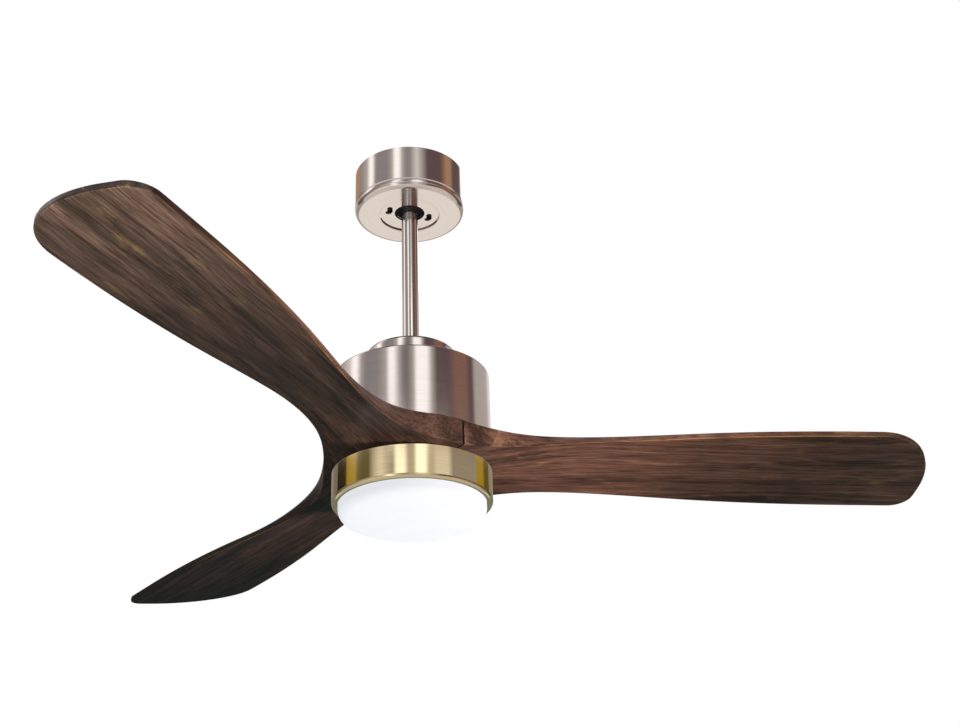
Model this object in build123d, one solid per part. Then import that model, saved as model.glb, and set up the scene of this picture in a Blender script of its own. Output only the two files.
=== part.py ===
from build123d import *
import os
from math import cos, pi, radians, sin, sqrt

# Ceiling fan with light: three twisted wooden blades under a drum-shaped motor, hung from a ceiling
# bracket by a ball and a downrod, with a brass light ring and an opal lens below the blades.
# Millimetres, +Z up. The origin is on the ceiling, midway between the two ceiling screws, and the
# first blade points along +X.

# Ceiling bracket, a bent steel strap whose lower plate carries the ball seat
CEILING_SCREW_SPACING = 88.9
CEILING_SLOT_R = 2.6
CEILING_SLOT_LENGTH = 14.0
BRACKET_T = 2.5
BRACKET_LENGTH = 116.0
BRACKET_WIDTH = 36.0
WIRE_HOLE_R = 13.0
LEG_WIDTH = 40.0
LEG_CLEARANCE = 3.0
SEAT_PLATE_T = 3.5
SEAT_PLATE_WIDTH = 66.0
SEAT_WALL = 3.5
TERMINAL_LENGTH = 30.0
TERMINAL_DEPTH = 12.0
TERMINAL_HEIGHT = 14.0
TERMINAL_DROP = 22.0

# Canopy, a spun cup with a groove above a rounded lip, and the cover plate sunk in its underside
CANOPY_R = 72.5
CANOPY_H = 61.0
CANOPY_WALL = 1.2
CANOPY_LIP_H = 10.5
CANOPY_LIP_OUT = 0.8
CANOPY_LIP_ROUND = 8.0
CANOPY_GROOVE = 1.0
RECESS_R = 39.5
RECESS_DEPTH = 3.8
RECESS_EDGE_ROUND = 1.0
LEDGE_W = 6.0
COVER_T = 1.6
COVER_HOLE_R = 20.0
COVER_SCREW_PITCH_R = 27.5
COVER_SCREW_TURN = 14.0
KEYHOLE_R = 4.2
KEYHOLE_LENGTH = 6.5

# Hanger ball, its liner and the downrod
BALL_R = 27.0
BALL_RISE = 20.4
BALL_CUT_ABOVE = 18.0
BALL_CUT_BELOW = 22.0
LINER_T = 2.4
LINER_TOP = 5.0
LINER_LOW = 16.0
PIN_R = 3.0
BALL_PIN_LENGTH = 40.0
BALL_PIN_RISE = 13.0
ROD_R = 10.65
ROD_WALL = 2.6
ROD_RISE = 22.0

# Heights of the parts that show, downwards from the ceiling
DRUM_DROP = 306.0
COLLAR_H = 34.5
DRUM_H = 91.5
HUB_GAP = 6.0
ROOT_T = 31.0
RING_GAP = 1.5
RING_H = 40.3

# Collar, yoke and motor housing
COLLAR_R = 57.0
COLLAR_WALL = 1.2
COLLAR_ROUND = 4.0
YOKE_R = 17.0
YOKE_HEADROOM = 3.3
YOKE_FLANGE_R = 40.0
YOKE_FLANGE_T = 4.0
YOKE_SHAFT_SOCKET = 8.0
YOKE_WEB = 4.0
FLANGE_SCREW_PITCH_R = 32.0
FLANGE_NUT_H = 4.0
DRUM_R = 98.0
DRUM_WALL = 1.5
DRUM_ROUND = 2.5

# Control board under the housing's top
BOARD_R = 78.0
BOARD_HOLE_R = 22.0
BOARD_T = 1.6
BOARD_STANDOFF_H = 10.5
BOARD_STANDOFF_R = 3.5
BOARD_STANDOFF_PITCH_R = 62.0
CAPACITOR_R = 7.0
CAPACITOR_H = 15.0
CAPACITOR_PITCH_R = 50.0
PLUG_LENGTH = 14.0
PLUG_WIDTH = 10.0
PLUG_H = 9.0
PLUG_START_R = 24.0

# Motor: hollow fixed shaft, stator, and the rotor that turns round it on two ball bearings
SHAFT_R = 8.5
SHAFT_BORE_R = 5.5
BEARING_R = 17.5
BEARING_W = 10.0
RACE_T = 2.2
BALLS_PER_BEARING = 9
BEARING_NUT_H = 6.0
BEARING_NUT_R = 12.5
UPPER_BEARING_DROP = 14.4
STATOR_R = 57.0
STATOR_H = 22.0
STATOR_HUB_R = 24.0
TOOTH_COUNT = 12
TOOTH_W = 7.0
SHOE_T = 5.5
SHOE_ANGLE = 22.0
COIL_W = 13.0
COIL_OVERHANG = 6.0
STATOR_DROP = 8.0
AIR_GAP = 1.0
MAGNET_T = 4.0
MAGNET_COUNT = 14
MAGNET_ANGLE = 22.0
MAGNET_EXTRA_H = 2.0
CASE_WALL = 7.0
CASE_TOP_T = 5.0
BEARING_LIP_T = 2.0
BEARING_BOSS_WALL = 4.5
HUB_PLATE_R = 90.0
HUB_PLATE_T = 6.0
ROTOR_SCREW_COUNT = 6

# Blades, carved so that the thick flat root twists into a thin pitched paddle
BLADE_COUNT = 3
SWEEP_R = 660.0
NOTCH_R = 107.0
ROOT_HOLE_R = 24.0
SEAM_W = 2.4
NECK_S = 120.0
NECK_HALF = 60.2
WAIST_S = 190.0
WAIST_HALF = 52.0
MID_S = 354.0
MID_HALF = 70.3
WIDE_HALF = 83.5
TIP_LONG = 89.0
TIP_CREST_W = 42.0
TIP_CORNER_R = 26.0
BLADE_T = 7.0
HIGH_EDGE_FALL = 0.5
LOW_EDGE_FALL = 2.3
TWIST_START_S = 50.0
HIGH_EDGE_END_S = 240.0
LOW_EDGE_START_S = 80.0
LOW_EDGE_END_S = 300.0
BLADE_LOFT_STATIONS = 14
EDGE_SEARCH_END = 1e-6
CLAMP_MARGIN = 6.0
CLAMP_T = 2.5
BLADE_SCREW_INNER_R = 45.0
BLADE_SCREW_OUTER_R = 74.0
BLADE_SCREW_SPREAD = 26.0

# Light: plate on the shaft's end, driver, LED board, bayonet holder, ring and lens
RING_R = 97.75
RING_WALL = 1.3
RING_LIP_ROUND = 4.0
RING_LUG_W = 14.0
PLATE_DROP = 8.0
PLATE_T = 1.6
SHAFT_NUT_H = 4.5
SHAFT_NUT_R = 13.0
DRIVER_LENGTH = 54.0
DRIVER_WIDTH = 26.0
DRIVER_H = 12.0
DRIVER_START = 20.0
LED_STANDOFF_H = 17.4
LED_STANDOFF_INSET = 12.0
LED_BOARD_GAP = 5.2
LED_BOARD_HOLE_R = 16.0
LED_SIZE = 5.0
LED_T = 1.0
LED_EDGE_INSET = 18.0
LED_OUTER_COUNT = 16
LED_INNER_RING_R = 34.0
LED_INNER_COUNT = 8
LENS_INSET = 7.75
LENS_WALL = 2.2
LENS_INSIDE = 14.3
LENS_SIDE_H = 16.0
LENS_CROWN = 5.7
LENS_ROUND = 13.0
HOLDER_WALL = 2.0
HOLDER_H = 22.4
BAYONET_COUNT = 3
BAYONET_TAB_ANGLE = 24.0
BAYONET_LUG_ANGLE = 20.0
BAYONET_T = 2.0

# Leads inside the rod and the shaft
LEAD_R = 1.7
LEAD_BEND_R = 12.0
LIGHT_LEAD_R = 1.3
LIGHT_LEAD_BEND_R = 8.0
LEAD_SLOT_W = 4.6
LEAD_SLOT_ABOVE = 7.5
LEAD_SLOT_BELOW = 4.0
LEAD_OFFSET = 5.4
LEAD_SHAFT_OFFSET = 2.5

# Screws: shank radius, head radius and head height
LARGE_SCREW = (2.5, 4.5, 3.0)
COVER_SCREW = (2.0, 3.6, 2.4)
SMALL_SCREW = (1.5, 2.8, 1.8)

# Clearances: a turning fit, a hole round a screw, the collar round the rod, and neighbours apart
RUN_FIT = 0.05
SCREW_FIT = 0.1
ROD_PASS = 0.6
APART = 0.3

# Levels and places worked out from the sizes above
COVER_LOW = -(CANOPY_H - RECESS_DEPTH)
COVER_TOP = COVER_LOW + COVER_T
SEAT_LOW = COVER_TOP + CANOPY_WALL
BALL_Z = SEAT_LOW + BALL_RISE
LINER_R = BALL_R + RUN_FIT + LINER_T
CUP_R = LINER_R + RUN_FIT
LEG_Y = CUP_R + SEAT_WALL + LEG_CLEARANCE
DRUM_TOP = -DRUM_DROP
COLLAR_TOP = DRUM_TOP + COLLAR_H
DRUM_INSIDE = DRUM_TOP - DRUM_WALL
DRUM_LOW = DRUM_TOP - DRUM_H
HUB_LOW = DRUM_LOW - HUB_GAP
ROOT_LOW = HUB_LOW - ROOT_T
RING_TOP = ROOT_LOW - RING_GAP
RING_LOW = RING_TOP - RING_H
SHAFT_TOP = DRUM_TOP + YOKE_SHAFT_SOCKET
ROD_LOW = SHAFT_TOP + YOKE_WEB
ROD_TOP = BALL_Z + ROD_RISE
YOKE_TOP = COLLAR_TOP - COLLAR_WALL - YOKE_HEADROOM
YOKE_PIN_Z = (YOKE_TOP + ROD_LOW) / 2
BOARD_TOP = DRUM_INSIDE - BOARD_STANDOFF_H
BOARD_LOW = BOARD_TOP - BOARD_T
LEAD_Z = BOARD_TOP + PLUG_H / 2
UPPER_BEARING_TOP = BOARD_LOW - UPPER_BEARING_DROP
UPPER_BEARING_LOW = UPPER_BEARING_TOP - BEARING_W
CASE_LOW = UPPER_BEARING_LOW - BEARING_LIP_T
CASE_TOP = CASE_LOW + CASE_TOP_T
STATOR_TOP = CASE_LOW - STATOR_DROP
STATOR_LOW = STATOR_TOP - STATOR_H
MAGNET_IN_R = STATOR_R + AIR_GAP
CASE_IN_R = MAGNET_IN_R + MAGNET_T
CASE_R = CASE_IN_R + CASE_WALL
HUB_TOP = HUB_LOW + HUB_PLATE_T
LOWER_BEARING_LOW = HUB_LOW + BEARING_NUT_H / 2
LOWER_BEARING_TOP = LOWER_BEARING_LOW + BEARING_W
BOSS_R = BEARING_R + BEARING_BOSS_WALL
BALL_RACE_R = (SHAFT_R + BEARING_R) / 2
WIDE_S = SWEEP_R - TIP_LONG
CLAMP_R = BLADE_SCREW_OUTER_R + CLAMP_MARGIN
LIGHT_PLATE_TOP = RING_TOP - PLATE_DROP
LIGHT_PLATE_LOW = LIGHT_PLATE_TOP - PLATE_T
RING_IN_R = RING_R - RING_WALL
SHAFT_LOW = LIGHT_PLATE_LOW - SHAFT_NUT_H
LED_BOARD_TOP = LIGHT_PLATE_LOW - LED_STANDOFF_H
LED_BOARD_LOW = LED_BOARD_TOP - BOARD_T
LENS_TOP = RING_LOW + LENS_INSIDE
LENS_LOW = RING_LOW - LENS_SIDE_H
LENS_R = RING_R - LENS_INSET
LENS_IN_R = LENS_R - LENS_WALL
HOLDER_LOW = LIGHT_PLATE_LOW - HOLDER_H
HOLDER_R = LENS_IN_R - BAYONET_T - 2 * APART
LED_BOARD_R = HOLDER_R - HOLDER_WALL - LED_BOARD_GAP
LED_STANDOFF_PITCH_R = LED_BOARD_R - LED_STANDOFF_INSET
LED_OUTER_RING_R = LED_BOARD_R - LED_EDGE_INSET
TAB_TOP = HOLDER_LOW + BAYONET_T

SEATED = (Align.CENTER, Align.CENTER, Align.MIN)


def disc(radius, low, high):
    """Upright cylinder on the axis, between two levels."""
    return Pos(0, 0, low) * Cylinder(radius, high - low, align=SEATED)


def tube(outer, inner, low, high):
    """Upright ring on the axis, between two levels."""
    return disc(outer, low, high) - disc(inner, low, high)


def block(x_size, y_size, low, high):
    """Box centred on the axis, between two levels."""
    return Pos(0, 0, low) * Box(x_size, y_size, high - low, align=SEATED)


def turned(points, radii):
    """Solid turned about the axis from a closed outline of (radius, level) points and corner radii."""
    outline = FilletPolyline(*points, radius=radii, close=True)
    return revolve(make_face(Plane.XZ * outline), Axis.Z)


def around(shape, radius, count, start=0.0):
    """Copies of a shape on a circle, each turned to face outwards."""
    return [Rot(0, 0, start + 360 * i / count) * Pos(radius, 0, 0) * shape for i in range(count)]


def group(shapes):
    """Several separate solids kept together as one node."""
    return Compound([solid for shape in shapes for solid in shape.solids()])


def sector(outer, inner, angle):
    """Flat ring sector centred on +X."""
    half = radians(angle / 2)
    reach = 2 * outer
    wedge = make_face(Polyline((0, 0), (reach * cos(half), -reach * sin(half)),
                               (reach * cos(half), reach * sin(half)), close=True))
    return (Circle(outer) - Circle(inner)) & wedge


def upright(sketch, low, high):
    """Flat shape raised between two levels."""
    return Pos(0, 0, low) * extrude(sketch, high - low, dir=(0, 0, 1))


def screw(size, length):
    """Pan-head screw that points up, with its head's bearing face at level 0 and a cross recess."""
    shank_r, head_r, head_h = size
    head = Pos(0, 0, -head_h) * Cylinder(head_r, head_h, align=SEATED)
    slot = block(1.2 * head_r, 0.25 * head_r, -head_h, -0.5 * head_h)
    cross = slot + Rot(0, 0, 90) * slot
    return head + Cylinder(shank_r, length, align=SEATED) - cross


def hex_nut(corner_r, bore_r, low, high):
    """Hexagon nut on the axis, between two levels."""
    return upright(RegularPolygon(corner_r, 6) - Circle(bore_r), low, high)


def cover_screw_places():
    """Where the two screws hold the cover, the canopy and the bracket together."""
    turn = Rot(0, 0, COVER_SCREW_TURN)
    return [turn * Pos(side * COVER_SCREW_PITCH_R, 0, 0) for side in (-1, 1)]


def hanger_bracket():
    top = block(BRACKET_LENGTH, BRACKET_WIDTH, -BRACKET_T, 0)
    span = 2 * (LEG_Y + BRACKET_T)
    top += block(LEG_WIDTH, span, -BRACKET_T, 0)
    leg = Pos(0, LEG_Y + BRACKET_T / 2, 0) * block(LEG_WIDTH, BRACKET_T, SEAT_LOW, 0)
    seat = block(SEAT_PLATE_WIDTH, span, SEAT_LOW, SEAT_LOW + SEAT_PLATE_T)
    seat += disc(CUP_R + SEAT_WALL, SEAT_LOW, BALL_Z - LINER_TOP)
    bracket = top + leg + Rot(0, 0, 180) * leg + seat
    bracket -= Pos(0, 0, BALL_Z) * Sphere(CUP_R)
    bracket -= disc(COVER_HOLE_R, SEAT_LOW, BALL_Z)
    bracket -= disc(WIRE_HOLE_R, -BRACKET_T, 0)
    slot = SlotOverall(CEILING_SLOT_LENGTH, 2 * CEILING_SLOT_R)
    for side in (-1, 1):
        bracket -= Pos(side * CEILING_SCREW_SPACING / 2, 0, 0) * upright(slot, -BRACKET_T, 0)
    shank_r = COVER_SCREW[0]
    for place in cover_screw_places():
        bracket -= place * disc(shank_r + SCREW_FIT, SEAT_LOW, SEAT_LOW + SEAT_PLATE_T)
    return bracket - earth_screw_hole()


def earth_screw_place():
    """Outer face of the leg on the -Y side, pointing inwards."""
    return Pos(0, -LEG_Y - BRACKET_T, BALL_Z) * Rot(-90, 0, 0)


def earth_screw_hole():
    shank_r = COVER_SCREW[0]
    return earth_screw_place() * Cylinder(shank_r + SCREW_FIT, BRACKET_T, align=SEATED)


def earth_screw():
    return earth_screw_place() * screw(COVER_SCREW, BRACKET_T)


def terminal_block():
    y = LEG_Y + BRACKET_T + TERMINAL_DEPTH / 2
    low = -TERMINAL_DROP - TERMINAL_HEIGHT
    body = Pos(0, y, 0) * block(TERMINAL_LENGTH, TERMINAL_DEPTH, low, -TERMINAL_DROP)
    entry = Pos(0, y, 0) * block(TERMINAL_LENGTH / 5, TERMINAL_DEPTH / 2, low, low + TERMINAL_HEIGHT / 2)
    for side in (-1, 0, 1):
        body -= Pos(side * TERMINAL_LENGTH / 3.2, 0, 0) * entry
    return body


def canopy_shell():
    lip_top = CANOPY_LIP_H - CANOPY_H
    lip_r = CANOPY_R + CANOPY_LIP_OUT
    groove_r = CANOPY_R - CANOPY_GROOVE
    ledge_r = RECESS_R - LEDGE_W
    wall = CANOPY_WALL
    outline = [(CANOPY_R, 0), (CANOPY_R, lip_top + CANOPY_GROOVE), (groove_r, lip_top),
               (lip_r, lip_top), (lip_r, -CANOPY_H), (RECESS_R, -CANOPY_H), (RECESS_R, COVER_TOP),
               (ledge_r, COVER_TOP), (ledge_r, SEAT_LOW), (RECESS_R + wall, SEAT_LOW),
               (RECESS_R + wall, wall - CANOPY_H), (lip_r - wall, wall - CANOPY_H),
               (lip_r - wall, lip_top - wall), (groove_r - wall, lip_top - wall),
               (groove_r - wall, lip_top), (CANOPY_R - wall, lip_top + CANOPY_GROOVE), (CANOPY_R - wall, 0)]
    rounds = [0, 0, 0, CANOPY_LIP_OUT, CANOPY_LIP_ROUND, RECESS_EDGE_ROUND, 0, 0, 0, 0, 0,
              CANOPY_LIP_ROUND - wall, 0, 0, 0, 0, 0]
    return turned(outline, rounds)


def canopy_cover():
    """Plate under the canopy's ledge, with a keyhole at each screw so that it turns off loosened heads."""
    cover = tube(RECESS_R - SCREW_FIT, COVER_HOLE_R, COVER_LOW, COVER_TOP)
    slot_r = COVER_SCREW[0] + SCREW_FIT
    for place in cover_screw_places():
        cover -= place * disc(slot_r, COVER_LOW, COVER_TOP)
        slot = block(2 * slot_r, KEYHOLE_LENGTH, COVER_LOW, COVER_TOP)
        cover -= place * Pos(0, KEYHOLE_LENGTH / 2, 0) * slot
        cover -= place * Pos(0, KEYHOLE_LENGTH, 0) * disc(KEYHOLE_R, COVER_LOW, COVER_TOP)
    return cover


def canopy_screws():
    length = SEAT_LOW + SEAT_PLATE_T - COVER_LOW
    return group([place * Pos(0, 0, COVER_LOW) * screw(COVER_SCREW, length)
                  for place in cover_screw_places()])


def ball_seat():
    shell = Sphere(LINER_R) - Sphere(BALL_R + RUN_FIT)
    return Pos(0, 0, BALL_Z) * (shell & block(2 * CUP_R, 2 * CUP_R, -LINER_LOW, -LINER_TOP))


def ball_pin_z():
    return BALL_Z + BALL_PIN_RISE


def cross_pin(length, z):
    """Round pin along Y through the rod's axis."""
    return Pos(0, 0, z) * Rot(90, 0, 0) * Cylinder(PIN_R, length)


def cross_hole(length, z):
    """Hole for such a pin."""
    return Pos(0, 0, z) * Rot(90, 0, 0) * Cylinder(PIN_R + RUN_FIT, length)


def hanger_ball():
    ball = Pos(0, 0, BALL_Z) * Sphere(BALL_R)
    ball &= block(2 * BALL_R, 2 * BALL_R, BALL_Z - BALL_CUT_BELOW, BALL_Z + BALL_CUT_ABOVE)
    ball -= disc(ROD_R + RUN_FIT, BALL_Z - BALL_R, BALL_Z + BALL_R)
    groove = 2 * (PIN_R + RUN_FIT)
    ball -= cross_hole(2 * BALL_R, ball_pin_z())
    ball -= block(groove, 2 * BALL_R, ball_pin_z(), BALL_Z + BALL_R)
    return ball - ball_set_screw_bar(LARGE_SCREW[0] + SCREW_FIT, BALL_R)


def ball_set_screw_bar(radius, outer_x):
    """Level bar along +X from the rod's side out to a given distance."""
    z = BALL_Z + PIN_R
    return Pos(ROD_R, 0, z) * Rot(0, 90, 0) * Cylinder(radius, outer_x - ROD_R, align=SEATED)


def ball_set_screw():
    return ball_set_screw_bar(LARGE_SCREW[0], BALL_R - LARGE_SCREW[2])


def downrod():
    rod = tube(ROD_R, ROD_R - ROD_WALL, ROD_LOW, ROD_TOP)
    return rod - cross_hole(3 * ROD_R, ball_pin_z()) - cross_hole(3 * ROD_R, YOKE_PIN_Z)


def yoke():
    flange_top = DRUM_TOP + YOKE_FLANGE_T
    body = disc(YOKE_R, DRUM_TOP, YOKE_TOP) + disc(YOKE_FLANGE_R, DRUM_TOP, flange_top)
    body -= disc(ROD_R + RUN_FIT, ROD_LOW, YOKE_TOP)
    body -= disc(ROD_R - ROD_WALL, SHAFT_TOP, ROD_LOW)
    body -= disc(SHAFT_R, DRUM_TOP, SHAFT_TOP)
    body -= cross_hole(3 * YOKE_R, YOKE_PIN_Z)
    hole = disc(LARGE_SCREW[0] + SCREW_FIT, DRUM_TOP, flange_top)
    for copy in around(hole, FLANGE_SCREW_PITCH_R, 4, 45):
        body -= copy
    for bar in yoke_set_screw_bars(LARGE_SCREW[0] + SCREW_FIT):
        body -= bar
    return body


def yoke_set_screw_bars(radius):
    """Two level bars along X, from the rod's sides to the yoke's outside."""
    bar = Rot(0, 90, 0) * Cylinder(radius, YOKE_R - ROD_R, align=SEATED)
    return [Rot(0, 0, turn) * Pos(ROD_R, 0, YOKE_PIN_Z) * bar for turn in (0, 180)]


def yoke_cover():
    wall = COLLAR_WALL
    hole_r = ROD_R + ROD_PASS
    outline = [(COLLAR_R, DRUM_TOP), (COLLAR_R, COLLAR_TOP), (hole_r, COLLAR_TOP),
               (hole_r, COLLAR_TOP - wall), (COLLAR_R - wall, COLLAR_TOP - wall),
               (COLLAR_R - wall, DRUM_TOP)]
    return turned(outline, [0, COLLAR_ROUND, 0, 0, COLLAR_ROUND - wall, 0])


def motor_housing():
    wall = DRUM_WALL
    hole_r = SHAFT_R + APART
    outline = [(DRUM_R, DRUM_LOW), (DRUM_R, DRUM_TOP), (hole_r, DRUM_TOP), (hole_r, DRUM_INSIDE),
               (DRUM_R - wall, DRUM_INSIDE), (DRUM_R - wall, DRUM_LOW)]
    drum = turned(outline, [0, DRUM_ROUND, 0, 0, DRUM_ROUND - wall, 0])
    hole = disc(LARGE_SCREW[0] + SCREW_FIT, DRUM_INSIDE, DRUM_TOP)
    for copy in around(hole, FLANGE_SCREW_PITCH_R, 4, 45):
        drum -= copy
    return drum


def flange_screws():
    reach = YOKE_FLANGE_T + DRUM_WALL + FLANGE_NUT_H
    down = Pos(0, 0, DRUM_TOP + YOKE_FLANGE_T) * Rot(180, 0, 0) * screw(LARGE_SCREW, reach)
    return group(around(down, FLANGE_SCREW_PITCH_R, 4, 45))


def flange_nuts():
    nut = hex_nut(1.9 * LARGE_SCREW[0], LARGE_SCREW[0] + RUN_FIT, DRUM_INSIDE - FLANGE_NUT_H, DRUM_INSIDE)
    return group(around(nut, FLANGE_SCREW_PITCH_R, 4, 45))


def board_standoffs():
    post = disc(BOARD_STANDOFF_R, BOARD_TOP, DRUM_INSIDE)
    return group(around(post, BOARD_STANDOFF_PITCH_R, 4, 45))


def control_board():
    return tube(BOARD_R, BOARD_HOLE_R, BOARD_LOW, BOARD_TOP)


def board_capacitors():
    can = disc(CAPACITOR_R, BOARD_LOW - CAPACITOR_H, BOARD_LOW)
    return group(around(can, CAPACITOR_PITCH_R, 2, 90))


def board_connectors():
    plug = Pos(PLUG_LENGTH / 2, 0, 0) * block(PLUG_LENGTH, PLUG_WIDTH, BOARD_TOP, BOARD_TOP + PLUG_H)
    return group(around(plug, PLUG_START_R, 2))


def lead(points, radius, bend):
    """Round lead along straight runs joined by arcs."""
    path = FilletPolyline(*points, radius=bend)
    start = Plane(origin=path @ 0, z_dir=path % 0)
    return sweep(start * Circle(radius), path)


def motor_leads():
    """The supply leads pass beside both cross pins, then come over to the shaft's bore."""
    jog = YOKE_PIN_Z - PIN_R - SCREW_FIT
    points = [(LEAD_OFFSET, 0, ROD_TOP), (LEAD_OFFSET, 0, jog), (LEAD_SHAFT_OFFSET, 0, SHAFT_TOP),
              (LEAD_SHAFT_OFFSET, 0, LEAD_Z), (PLUG_START_R, 0, LEAD_Z)]
    return lead(points, LEAD_R, LEAD_BEND_R)


def light_lead():
    driver_z = LIGHT_PLATE_LOW - 0.8 * DRIVER_H
    points = [(-PLUG_START_R, 0, LEAD_Z), (0, 0, LEAD_Z), (0, 0, driver_z), (DRIVER_START, 0, driver_z)]
    return lead(points, LIGHT_LEAD_R, [LEAD_BEND_R, LIGHT_LEAD_BEND_R])


def motor_shaft():
    shaft = tube(SHAFT_R, SHAFT_BORE_R, SHAFT_LOW, SHAFT_TOP)
    return shaft - block(3 * SHAFT_R, LEAD_SLOT_W, LEAD_Z - LEAD_SLOT_BELOW, LEAD_Z + LEAD_SLOT_ABOVE)


def stator_core():
    shoe_in_r = STATOR_R - SHOE_T
    tooth_length = shoe_in_r + SHOE_T / 2 - STATOR_HUB_R / 2
    tooth = Pos(STATOR_HUB_R / 2 + tooth_length / 2, 0) * Rectangle(tooth_length, TOOTH_W)
    shoe = sector(STATOR_R, shoe_in_r, SHOE_ANGLE)
    plan = Circle(STATOR_HUB_R)
    for copy in around(tooth, 0, TOOTH_COUNT) + around(shoe, 0, TOOTH_COUNT):
        plan += copy
    return upright(plan - Circle(SHAFT_R), STATOR_LOW, STATOR_TOP)


def stator_windings():
    start = STATOR_HUB_R + 3
    length = STATOR_R - SHOE_T - start - 2
    coil = block(length, COIL_W, STATOR_LOW - COIL_OVERHANG, STATOR_TOP + COIL_OVERHANG)
    coil -= block(length, TOOTH_W, STATOR_LOW, STATOR_TOP)
    return group(around(coil, start + length / 2, TOOTH_COUNT))


def rotor_magnets():
    low = STATOR_LOW - MAGNET_EXTRA_H
    magnet = upright(sector(CASE_IN_R, MAGNET_IN_R, MAGNET_ANGLE), low, STATOR_TOP + MAGNET_EXTRA_H)
    return group(around(magnet, 0, MAGNET_COUNT))


def rotor_case():
    lip_r = BEARING_R - RACE_T - RUN_FIT
    outline = [(BOSS_R, UPPER_BEARING_TOP), (BOSS_R, CASE_TOP), (CASE_R, CASE_TOP), (CASE_R, HUB_TOP),
               (CASE_IN_R, HUB_TOP), (CASE_IN_R, CASE_LOW), (lip_r, CASE_LOW), (lip_r, UPPER_BEARING_LOW),
               (BEARING_R, UPPER_BEARING_LOW), (BEARING_R, UPPER_BEARING_TOP)]
    case = turned(outline, [0, 0, CASE_TOP_T - 1, 0, 0, 0, 0, 0, 0, 0])
    hole = disc(SMALL_SCREW[0] + SCREW_FIT, HUB_TOP, HUB_TOP + HUB_PLATE_T + 1)
    for copy in around(hole, rotor_screw_pitch_r(), ROTOR_SCREW_COUNT):
        case -= copy
    return case


def rotor_screw_pitch_r():
    return CASE_IN_R + CASE_WALL / 2


def rotor_screw_seat():
    """Level of the sunk heads' bearing face in the hub plate."""
    return HUB_LOW + SMALL_SCREW[2] + APART


def rotor_cover():
    lip_r = BEARING_R - RACE_T - RUN_FIT
    boss_top = LOWER_BEARING_TOP + BEARING_LIP_T
    outline = [(BOSS_R, boss_top), (BOSS_R, HUB_TOP), (HUB_PLATE_R, HUB_TOP), (HUB_PLATE_R, HUB_LOW),
               (BEARING_R, HUB_LOW), (BEARING_R, LOWER_BEARING_TOP), (lip_r, LOWER_BEARING_TOP),
               (lip_r, boss_top)]
    cover = turned(outline, 8 * [0])
    seat = rotor_screw_seat()
    hole = disc(SMALL_SCREW[0] + SCREW_FIT, HUB_LOW, HUB_TOP) + disc(SMALL_SCREW[1] + APART, HUB_LOW, seat)
    for copy in around(hole, rotor_screw_pitch_r(), ROTOR_SCREW_COUNT):
        cover -= copy
    for hole in blade_screw_holes(HUB_LOW, HUB_TOP):
        cover -= hole
    return cover


def rotor_screws():
    length = HUB_TOP + HUB_PLATE_T - rotor_screw_seat()
    up = Pos(0, 0, rotor_screw_seat()) * screw(SMALL_SCREW, length)
    return group(around(up, rotor_screw_pitch_r(), ROTOR_SCREW_COUNT))


def bearing_levels():
    return (UPPER_BEARING_LOW, LOWER_BEARING_LOW)


def bearing_inner_races():
    return group([tube(SHAFT_R + RACE_T, SHAFT_R, low, low + BEARING_W) for low in bearing_levels()])


def bearing_outer_races():
    return group([tube(BEARING_R, BEARING_R - RACE_T, low, low + BEARING_W) for low in bearing_levels()])


def bearing_balls():
    ball = Sphere((BEARING_R - SHAFT_R) / 2 - RACE_T - RUN_FIT)
    return group([Pos(0, 0, low + BEARING_W / 2) * copy for low in bearing_levels()
                  for copy in around(ball, BALL_RACE_R, BALLS_PER_BEARING)])


def bearing_nut():
    return hex_nut(BEARING_NUT_R, SHAFT_R, LOWER_BEARING_LOW - BEARING_NUT_H, LOWER_BEARING_LOW)


def eased(s, start, end, first, last):
    """Level that leaves the first value at start and settles on the last at end, as a quarter sine."""
    share = min(max((s - start) / (end - start), 0), 1)
    return first + (last - first) * sin(share * pi / 2)


def notch_end():
    """Where a blade's low edge meets the seam, at the bottom of the notch between two blades."""
    turn = radians(180 / BLADE_COUNT) - SEAM_W / 2 / NOTCH_R
    return NOTCH_R * cos(turn), NOTCH_R * sin(turn)


def low_edge():
    """Curve of the blade's low edge, from the notch, square to the seam, to the widest part."""
    seam = radians(180 / BLADE_COUNT)
    places = [notch_end(), (NECK_S, NECK_HALF), (WAIST_S, WAIST_HALF), (MID_S, MID_HALF), (WIDE_S, WIDE_HALF)]
    return Spline(*places, tangents=[(sin(seam), -cos(seam)), (1, 0)])


def half_width(s):
    """Half the blade's width at a distance from the axis, searched for along its low edge."""
    edge = low_edge()
    near, far = 0.0, 1.0
    while far - near > EDGE_SEARCH_END:
        middle = (near + far) / 2
        near, far = (middle, far) if (edge @ middle).X < s else (near, middle)
    return (edge @ near).Y


def blade_section(s):
    """Upright four-sided slice of the blade, wider than its outline, at a distance from the axis."""
    high_top = eased(s, TWIST_START_S, LOW_EDGE_START_S, HUB_LOW, HUB_LOW - HIGH_EDGE_FALL)
    high_low = eased(s, TWIST_START_S, HIGH_EDGE_END_S, ROOT_LOW, HUB_LOW - HIGH_EDGE_FALL - BLADE_T)
    low_low = eased(s, TWIST_START_S, LOW_EDGE_END_S, ROOT_LOW, ROOT_LOW - LOW_EDGE_FALL)
    low_top = eased(s, LOW_EDGE_START_S, LOW_EDGE_END_S, HUB_LOW, ROOT_LOW - LOW_EDGE_FALL + BLADE_T)
    half = half_width(s)
    reach = max(WIDE_HALF, NOTCH_R) + SEAM_W
    top_mid, top_slope = (high_top + low_top) / 2, (low_top - high_top) / (2 * half)
    low_mid, low_slope = (high_low + low_low) / 2, (low_low - high_low) / (2 * half)
    corners = [(s, -reach, low_mid - reach * low_slope), (s, reach, low_mid + reach * low_slope),
               (s, reach, top_mid + reach * top_slope), (s, -reach, top_mid - reach * top_slope)]
    return make_face(Polyline(*corners, close=True))


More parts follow.
